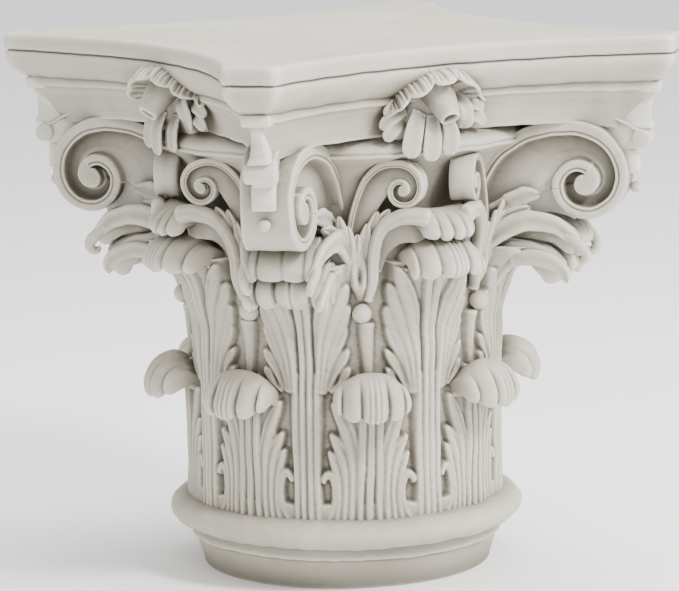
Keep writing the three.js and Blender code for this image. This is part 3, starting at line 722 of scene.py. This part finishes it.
def flower():
    """One flower at the middle of a side at +X: hood, trumpet, skirt and petals."""
    piece = Piece()
    flower_hood(piece)
    flower_tube(piece)
    skirt = []
    for z, half, reach in ((458, 20, 172), (450, 25, 177), (440, 31, 178), (430, 37, 176),
                           (421, 41, 172), (414, 42, 168)):
        a = np.linspace(0, 2 * np.pi, 72, endpoint=False)
        folds = 1 + 0.07 * np.cos(9 * a + 0.5) * smooth(458 - z, 4, 30)
        skirt.append(np.stack([152 + (reach - 152) * np.cos(a) * folds,
                               -9 + half * np.sin(a) * folds, np.full(72, z)], 1))
    piece.tube(skirt)
    petals = [
        ([(176, -24, 442), (182, -33, 424), (181, -38, 402)], (7, 9.5, 10)),
        ([(179, -12, 438), (185, -15, 420), (184, -17, 397)], (6, 9, 9.6)),
        ([(174, 6, 436), (181, 7, 420), (180, 5, 401)], (6, 8.6, 9)),
        ([(170, 12, 454), (178, 22, 446), (176, 27, 434), (171, 25, 423)], (7, 8, 7)),
        ([(168, -38, 452), (176, -50, 449), (174, -58, 441)], (6, 6.5, 5)),
        ([(168, -36, 444), (174, -52, 438), (172, -61, 429)], (6, 7, 5)),
        ([(168, -36, 434), (174, -49, 428), (172, -56, 418)], (6, 7, 6)),
        ([(166, 24, 448), (172, 38, 445), (170, 50, 438)], (6, 6.5, 5)),
        ([(166, 26, 438), (172, 40, 434), (171, 50, 425)], (6, 7, 5)),
        ([(172, -20, 434), (178, -25, 420), (178, -27, 405)], (4, 5, 5)),
        ([(172, 0, 432), (178, -4, 420), (178, -6, 403)], (4, 5, 5)),
    ]
    for path, widths in petals:
        petal(piece, path, widths, 3.2, (1, 0, 0.3), groove=0.9, dish=1.2)
    return piece


def stalk():
    """Bead and bud on the stalk beside a corner at +X, with the two leaves that part there."""
    piece = Piece()
    ball(piece, cylinder_point(20.4, 151, 258.5), 8.8)
    # The bud, with an oval hollow on its front.
    rings = []
    for z in np.linspace(267, 322, 40):
        t = (z - 267) / 55
        left = mix(19.2, 11.5, smooth(t, 0, 0.75)) - 0.6 * math.sin(t * 9)
        right = mix(19.2, 24.2, math.sqrt(min(1, t * 2.2)))
        left = mix(19.2, left, math.sqrt(min(1, t * 3)))
        bulge = 12 * math.sqrt(max(0.0, min(1, t * 3.5))) + 3 * t
        ring = []
        for a in np.linspace(0, 2 * np.pi, 44, endpoint=False):
            angle = (left + right) / 2 + (right - left + 1.4) / 2 * math.cos(a)
            radius = 143 + bulge * math.sin(a) * (1 if math.sin(a) > 0 else 0.3)
            if math.sin(a) > 0:
                dip = math.exp(-((angle - 19.6) / 1.0) ** 2 - ((z - 293) / 9.5) ** 2)
                rim = math.exp(-((angle - 19.6) / 1.9) ** 2 - ((z - 293) / 13) ** 2)
                radius += 2.2 * rim - 7.0 * dip
            ring.append(cylinder_point(angle, radius, z))
        rings.append(ring)
    piece.tube(rings)
    # The ridge that rises beside the bud and arches over to the side's middle.
    face = [cylinder_point(a, 1, 0.0) for a in (22, 24, 28, 34, 40)]
    ridge = [(22.6, 150, 270), (24.0, 154, 288), (24.1, 157, 308), (24.9, 161, 325),
             (27.2, 166, 339), (30.8, 173, 347), (35.0, 180, 349), (39.5, 186, 346)]
    petal(piece, [cylinder_point(*p) for p in ridge], (4, 5, 5.6, 6.2, 7, 8, 9), 7.5, face,
          groove=0.8, tip=0.05, steps=60, around=28)
    # The hollow behind the arch.
    hollow = [(25.5, 146, 296), (27, 150, 318), (30.5, 157, 333), (35.5, 164, 338),
              (41, 170, 335)]
    petal(piece, [cylinder_point(*p) for p in hollow], (5, 9, 13, 15, 15), 6.0, face,
          dish=3.0, tip=0.04, steps=50, around=28)
    # Small leaflets above the bud and along the arch.
    leaflets = [
        ([(17.5, 150, 300), (18.2, 156, 318), (19.2, 160, 332)], (6, 6, 4)),
        ([(20.5, 150, 306), (21.4, 157, 326), (22.2, 161, 342)], (6, 6, 4.5)),
        ([(22.6, 152, 316), (23.6, 158, 336), (25.4, 163, 353)], (5, 5.5, 4)),
        ([(25.0, 158, 334), (27.0, 164, 347), (29.0, 168, 355)], (4, 4.5, 3)),
    ]
    for path, widths in leaflets:
        petal(piece, [cylinder_point(*p) for p in path], widths, 3.4,
              cylinder_point(20, 1, 0.25), groove=1.2, dish=1.6, teeth=3, jag=0.16)
    # The broad leaf that sweeps from the bud towards the corner, ending in points.
    wide = [(18.5, 146, 286), (15.0, 152, 305), (11.6, 160, 322), (9.4, 166, 338)]
    petal(piece, [cylinder_point(*p) for p in wide], (9, 14, 17, 16), 7.0,
          cylinder_point(15, 1, 0.2), dish=2.0, tip=0.10, steps=44, around=30)
    points = [
        ([(14.6, 156, 316), (13.9, 163, 333), (13.0, 167, 350)], (7, 6.5, 4)),
        ([(11.2, 160, 318), (10.0, 167, 334), (8.8, 171, 348)], (7, 6.5, 4.5)),
        ([(17.0, 154, 308), (16.4, 160, 325), (15.8, 163, 341)], (6, 5.5, 4)),
    ]
    for path, widths in points:
        petal(piece, [cylinder_point(*p) for p in path], widths, 4.0,
              cylinder_point(14, 1, 0.3), groove=1.0, tip=0.35)
    return piece


def web_leaves():
    """Leaves that spring from the stalk and lie against a volute's face, at a corner at +X."""
    piece = Piece()

    def carry(points):
        return volute_surface(points, 1, **VOLUTE)

    outwards = (-math.sin(math.radians(6.5)), 1, 0)
    # Each path is (distance in from the tip, height, depth under the face).
    upper = [(150, 318, 8), (128, 336, 7), (104, 350, 8), (86, 353, 9)]
    shoulder = [(150, 308, 4), (134, 322, 2), (112, 334, 2), (94, 341, 4)]
    long = [(150, 296, 2), (126, 316, -4), (98, 330, -6), (70, 326, -5), (52, 312, -3),
            (46, 302, 0)]
    hook = [(60, 318, -4), (48, 308, -6), (42, 299, -4), (46, 293, -1), (52, 297, 1)]
    low = [(140, 262, 14), (128, 282, 8), (112, 298, 4), (92, 303, 3)]
    under = [(112, 292, 2), (92, 296, -3), (74, 292, -6), (62, 282, -5), (60, 272, -2)]
    serrated = {"tip": 0.2, "steps": 50}
    for path, widths, thick, shape in (
            (upper, (6, 9, 10, 8), 5.5,
             {"groove": 1.6, "dish": 2.6, "teeth": 5, "jag": 0.12, **serrated}),
            (shoulder, (5, 7, 7, 6), 5.0, {"groove": 1.2, "dish": 1.6}),
            (long, (6, 9, 10, 8, 6), 6.0, {"groove": 2.0, "dish": 2.4, "tip": 0.2, "steps": 60}),
            (hook, (5, 5.5, 5, 4), 4.4, {"tip": 0.3}),
            (low, (8, 11, 12, 9), 5.0,
             {"groove": 1.5, "dish": 2.2, "teeth": 4, "jag": 0.10, **serrated}),
            (under, (6, 8, 8, 6), 5.4, {"groove": 1.2, "dish": 1.6})):
        petal(piece, carry(path), widths, thick, outwards, **shape)
    return piece


def volute_core():
    """The mass between a volute's two faces, below and behind its coil."""
    piece = Piece()
    outline = [(158, 300), (120, 312), (84, 318), (58, 322), (50, 340), (52, 362), (70, 384),
               (104, 392), (136, 372), (150, 340)]
    left = [volute_surface((u, z, 16.5), 1, **VOLUTE) for u, z in outline]
    right = [volute_surface((u, z, 16.5), -1, **VOLUTE) for u, z in outline]
    piece.tube([mix(np.array(left), np.array(right), t) for t in (0, 0.25, 0.5, 0.75, 1)])
    return piece


def corner_post():
    """Block, post and roll under a corner of the abacus at +X, with the panel and boss below."""
    piece = Piece()

    def box(levels):
        rings = []
        for z, half, inner, outer in levels:
            b = min(1.2, half * 0.3)
            rings.append([(inner, -half, z), (outer - b, -half, z), (outer, -half + b, z),
                          (outer, half - b, z), (outer - b, half, z), (inner, half, z)])
        piece.tube(rings)

    box([(446.2, 11, 270, 300.5), (447.2, 12.6, 270, 302.6), (455.4, 12.6, 270, 303.4),
         (456.6, 11, 270, 302)])
    box([(413, 8.6, 260, 296), (414.5, 9.2, 260, 297), (416.5, 8.2, 260, 296),
         (420, 7.0, 260, 294.6), (430, 5.6, 260, 294.4), (440, 5.2, 260, 296),
         (447, 5.4, 260, 299.5)])
    box([(388, 9, 250, 281), (396, 9, 250, 284), (413, 9, 250, 288), (416, 8, 250, 290)])
    a = np.linspace(0, 2 * np.pi, 26, endpoint=False)
    rings = []
    for y, size in ((-14.4, 6.4), (-13.6, 8.2), (-12, 8.8), (12, 8.8), (13.6, 8.2),
                    (14.4, 6.4)):
        rings.append(np.stack([286.5 + size * np.cos(a), np.full(26, y),
                               404 + size * np.sin(a)], 1))
    piece.tube(rings)
    tilt = [(393, 281.2), (392, 282.6), (372, 283.6), (371, 282.4)]
    box([(z, 10, 268, x) for z, x in tilt[::-1]])
    ball(piece, (279.6, 0, 358), 5.4)
    petal(piece, [(284, 0, 411), (262, 0, 422), (240, 0, 426), (226, 0, 424)], (12, 11, 10, 9),
          3.0, (0, 0, 1), groove=1.2)
    return piece


# ---------------------------------------------------------------- scrolls


def scroll_outer(turn):
    return 10.7 + 66.7 * np.exp(-turn / 242.8)


def scroll_band(turn):
    return 10.3 + 3.7 * np.exp(-np.maximum(turn - 90, 0) / 60)


def scroll_disc(turn):
    """Outline of the coil's heart: the next turn's outer edge, which hooks into the eye."""
    eye = 9 + 4 * np.cos(np.radians(turn - 200))
    return mix(scroll_outer(turn + 360), eye, smooth(turn, 170, 250))


SCROLL_START = 75.0
SCROLL_CLOSE = 352.0
SCROLL_END = 480.0


def scroll(eye, scale, foot, rise, side):
    """Lines of a scroll in its own plane: outer and inner edge of the band, and the web's end.

    side is 1 where the stem stands on the side of increasing x, and -1 on the other.
    """

    def spot(turn, radius):
        a = np.radians(turn)
        return np.stack([eye[0] + side * scale * radius * np.cos(a),
                         eye[1] + scale * radius * np.sin(a)], -1)

    def stem(start, top, count):
        start, top = np.asarray(start, float), np.asarray(top, float)
        b = start + [-side * scale, rise]
        c = np.array([mix(top[0], start[0], 0.62), top[1]])
        t = np.linspace(0, 1, count)[:-1, None]
        return ((1 - t) ** 3 * start + 3 * (1 - t) ** 2 * t * b + 3 * (1 - t) * t**2 * c
                + t**3 * top)

    count = 30
    turns = np.linspace(SCROLL_START, SCROLL_END, 150)
    outer = spot(turns, scroll_outer(turns))
    inner_radius = scroll_outer(turns) - scroll_band(turns)
    inner = spot(turns, inner_radius)
    foot = np.asarray(foot, float)
    outer = np.vstack([stem(foot, outer[0], count), outer])
    inner = np.vstack([stem(foot - [side * 11 * scale, 0], inner[0], count), inner])
    stem_turns = np.linspace(-8, SCROLL_START, count)[:-1]
    all_turns = np.concatenate([stem_turns, turns])
    web = spot(all_turns, scroll_disc(all_turns))
    disc_turns = np.linspace(SCROLL_END - 360, SCROLL_END, 90)
    disc = spot(disc_turns, scroll_disc(disc_turns))
    return outer, inner, web, disc, all_turns


def band_section(outer, inner, web, depth, scale):
    """A cut across the band at one place, as (x, z, depth below the face) from web to edge."""
    across = outer - inner
    size = max(np.linalg.norm(across), 1e-6)
    unit = across / size
    bead = min(3.2 * scale, 0.3 * size)

    def at(distance, sunk):
        p = inner + unit * distance
        return [p[0], p[1], sunk]

    floor = inner - unit * min(2.2 * scale, 0.8 * np.linalg.norm(inner - web))
    return [
        [web[0], web[1], depth],
        [mix(floor[0], web[0], 0.6), mix(floor[1], web[1], 0.6), depth * 1.02],
        [floor[0], floor[1], depth * 0.96],
        at(-0.9 * scale, depth * 0.72),
        at(-0.2 * scale, depth * 0.3),
        at(0.1 * scale, 0.9 * scale),
        at(0.9 * scale, 0.15 * scale),
        at(bead * 0.55, 0.2 * scale),
        at(bead, 1.5 * scale),
        at(bead + 0.9 * scale, 0.35 * scale),
        at(bead + 1.8 * scale, 0.0),
        at(mix(bead, size, 0.6), -0.25 * scale),
        at(size - 1.6 * scale, 0.0),
        at(size - 0.5 * scale, 0.35 * scale),
        at(size, 1.4 * scale),
    ]


def heart(disc, levels):
    """Outlines of a coil's heart, as (x, z, depth), for each level's (size, depth)."""
    centre = disc.mean(0)
    for grow, sunk in levels:
        ring = centre + (disc[:-1] - centre) * grow
        yield np.column_stack([ring, np.full(len(ring), sunk)])


def volute_surface(points, side, half_width, turn, reach):
    """Points of a face, as (distance inwards, height, depth), carried to the corner at +X."""
    points = np.asarray(points, float)
    u, z, sunk = points[..., 0], points[..., 1], points[..., 2]
    half = half_width + u * math.sin(math.radians(turn)) - sunk
    return np.stack([reach - u * math.cos(math.radians(turn)), side * half, z], -1)


VOLUTE = {"half_width": 22.0, "turn": 6.5, "reach": 280.0}
VOLUTE_EYE = (47.6, 363.8)


def volute():
    """One corner's volute: two sunk scroll faces and the broad front band between them."""
    outer, inner, web, disc, turns = scroll(VOLUTE_EYE, 1.0, (153, 318), 62, 1)
    piece = Piece()
    depth = 13.5
    rings = []
    front_steps = 22
    for k in range(len(outer)):
        if turns[k] > SCROLL_CLOSE:
            break
        cut = band_section(outer[k], inner[k], web[k], depth, 1.0)
        left = volute_surface(cut, 1, **VOLUTE)
        right = volute_surface(cut[::-1], -1, **VOLUTE)
        share = np.linspace(0, 1, front_steps + 2)[1:-1, None]
        front = left[-1] + (right[0] - left[-1]) * share
        rings.append(np.vstack([left, front, right]))
    piece.tube(rings)
    for side in (1, -1):
        rings = []
        for k in range(len(outer)):
            if turns[k] < SCROLL_CLOSE - 6:
                continue
            cut = band_section(outer[k], inner[k], web[k], depth, 1.0)
            across = (outer[k] - inner[k]) / np.linalg.norm(outer[k] - inner[k])
            wall = [
                [*(outer[k] + 0.5 * across), depth * 0.4],
                [*(outer[k] + 1.2 * across), depth * 0.8],
                [*(outer[k] + 2.0 * across), depth * 1.1],
                [*(web[k]), depth * 1.3],
            ]
            rings.append(volute_surface(cut + wall, side, **VOLUTE))
        piece.tube(rings)
        levels = ((1.06, depth * 1.15), (1.03, depth * 0.8), (1.0, depth * 0.4), (0.98, 1.0),
                  (0.93, 0.25), (0.8, 0.0), (0.5, -0.3), (0.2, -0.4))
        piece.tube([volute_surface(layer, side, **VOLUTE) for layer in heart(disc, levels)])
    return piece


def helix():
    """An inner scroll beside a corner at +X, in a plane square to the diagonal."""
    scale = 0.47
    outer, inner, web, disc, turns = scroll((92, 372), scale, (40, 312), 48, -1)
    plane, thick, depth = 150.0, 22.0, 6.0
    piece = Piece()

    def carry(points):
        points = np.asarray(points, float)
        return np.stack([plane - points[..., 2], points[..., 0], points[..., 1]], -1)

    rings = []
    step = 2
    for k in range(0, len(outer), step):
        if turns[k] > SCROLL_CLOSE:
            break
        cut = band_section(outer[k], inner[k], web[k], depth, scale)
        back = [[*outer[k], thick * 0.5], [*outer[k], thick], [*web[k], thick]]
        rings.append(carry(cut + back))
    piece.tube(rings)
    rings = []
    for k in range(0, len(outer), step):
        if turns[k] < SCROLL_CLOSE - 6:
            continue
        cut = band_section(outer[k], inner[k], web[k], depth, scale)
        rings.append(carry(cut + [[*outer[k], depth * 0.6], [*outer[k], depth * 1.2],
                                  [*web[k], depth * 1.3]]))
    piece.tube(rings)
    levels = ((1.05, depth * 1.2), (1.0, depth * 0.6), (0.97, 0.5), (0.85, 0.0), (0.5, -0.2),
              (0.2, -0.3))
    piece.tube([carry(layer) for layer in heart(disc, levels)])
    return piece


# ---------------------------------------------------------------- assembly

base_ring().make("base_ring")
bell_lip().make("bell_lip")
abacus().make("abacus")
for index, quarter in enumerate(bell_relief()):
    quarter.make(f"bell_leaves_{index + 1}")

lower_curl = curl(LOWER_MIDDLE, LOWER_EDGE, 12.4, LOWER_TOES,
                  strands=((-4.5, 1.2, 1.3), (0.5, 1.2, 1.5), (5.5, 1.2, 1.2)))
for index in range(2 * SIDES):
    lower_curl.turned(STALK + index * CORNER, index % 2 == 1).make(f"lower_curl_{index + 1}")

side_curl = curl(SIDE_MIDDLE, SIDE_EDGE, 12.6, SIDE_TOES,
                 strands=((-4.5, 1.2, 1.4), (1.0, 1.2, 1.5), (5.5, 1.2, 1.3)))
corner_curl = curl(CORNER_MIDDLE, CORNER_EDGE, 10.8, CORNER_TOES, strands=((7, 1.3, 1.4),))
face_canopy = curl(FACE_CANOPY_MIDDLE, FACE_CANOPY_EDGE, 8.6, FACE_CANOPY_TOES, notch=6.0)
corner_canopy = curl(CORNER_CANOPY_MIDDLE, CORNER_CANOPY_EDGE, 8.6, CORNER_CANOPY_TOES,
                     notch=6.0)
one_volute = volute()
one_helix = helix()
one_core = volute_core()
one_stalk = stalk()
one_web = web_leaves()
one_post = corner_post()
one_flower = flower()
for index in range(SIDES):
    face = index * QUARTER
    corner = face + CORNER
    side_curl.turned(face).make(f"side_leaf_curl_{index + 1}")
    face_canopy.turned(face).make(f"side_canopy_{index + 1}")
    corner_curl.turned(corner).make(f"corner_leaf_curl_{index + 1}")
    corner_canopy.turned(corner).make(f"corner_canopy_{index + 1}")
    one_volute.turned(corner).make(f"volute_{index + 1}")
    one_core.turned(corner).make(f"volute_core_{index + 1}")
    one_post.turned(corner).make(f"corner_post_{index + 1}")
    one_flower.turned(face).make(f"flower_{index + 1}")
    for side, mirror in enumerate((False, True)):
        one_stalk.turned(corner, mirror).make(f"stalk_{2 * index + side + 1}")
        one_web.turned(corner, mirror).make(f"volute_leaves_{2 * index + side + 1}")
    one_helix.turned(corner).make(f"helix_{2 * index + 1}")
    one_helix.turned(corner, True).make(f"helix_{2 * index + 2}")

# ---------------------------------------------------------------- floor, camera and light


def floor():
    mesh = bpy.data.meshes.new("floor")
    size = 6.0
    mesh.from_pydata([(-size, -size, 0), (size, -size, 0), (size, size, 0), (-size, size, 0)],
                     [], [(0, 1, 2, 3)])
    ground = bpy.data.objects.new("floor", mesh)
    ground.location.z = NODE_LOW.z
    material = bpy.data.materials.new("floor")
    material.use_nodes = True
    shader = material.node_tree.nodes["Principled BSDF"]
    shader.inputs["Base Color"].default_value = (0.97, 0.97, 0.97, 1)
    shader.inputs["Roughness"].default_value = 0.9
    mesh.materials.append(material)
    bpy.context.scene.collection.objects.link(ground)


def camera():
    """A long lens at the height of a table-top view, turned towards one corner's left."""
    height = NODE_HIGH.z - NODE_LOW.z
    azimuth, distance, level = math.radians(-31.21), 6.6034 * height, 1.6144 * height
    pitch, yaw, roll = math.radians(9.573), math.radians(-0.048), math.radians(-1.088)
    data = bpy.data.cameras.new("camera")
    data.sensor_width = 36.0
    data.lens = 36.0 * 3547.4 / 679
    data.clip_end = 50
    shot = bpy.data.objects.new("camera", data)
    place = Vector((math.sin(azimuth) * distance, -math.cos(azimuth) * distance,
                    NODE_LOW.z + level))
    heading = -azimuth + yaw
    forward = Vector((math.sin(heading) * math.cos(pitch), math.cos(heading) * math.cos(pitch),
                      -math.sin(pitch)))
    right = forward.cross(Vector((0, 0, 1))).normalized()
    up = right.cross(forward)
    c, s = math.cos(roll), math.sin(roll)
    right, up = c * right + s * up, -s * right + c * up
    shot.matrix_world = Matrix((
        (right.x, up.x, -forward.x, place.x),
        (right.y, up.y, -forward.y, place.y),
        (right.z, up.z, -forward.z, place.z),
        (0, 0, 0, 1),
    ))
    bpy.context.scene.collection.objects.link(shot)
    bpy.context.scene.camera = shot


def area_light(name, place, size, power):
    data = bpy.data.lights.new(name, "AREA")
    data.shape = "DISK"
    data.size = size
    data.energy = power
    light = bpy.data.objects.new(name, data)
    light.location = place
    aim = Vector((0, 0, 0.28)) - Vector(place)
    light.rotation_euler = aim.to_track_quat("-Z", "Y").to_euler()
    bpy.context.scene.collection.objects.link(light)


def lights():
    world = bpy.data.worlds.new("studio")
    world.use_nodes = True
    world.node_tree.nodes["Background"].inputs["Color"].default_value = (1, 1, 1, 1)
    world.node_tree.nodes["Background"].inputs["Strength"].default_value = 1.25
    bpy.context.scene.world = world
    area_light("key", (0.9, -2.3, 2.5), 0.9, 150)
    area_light("top", (0.3, 0.2, 2.8), 1.6, 70)
    area_light("right", (2.4, -1.0, 1.2), 1.2, 25)


floor()
camera()
lights()
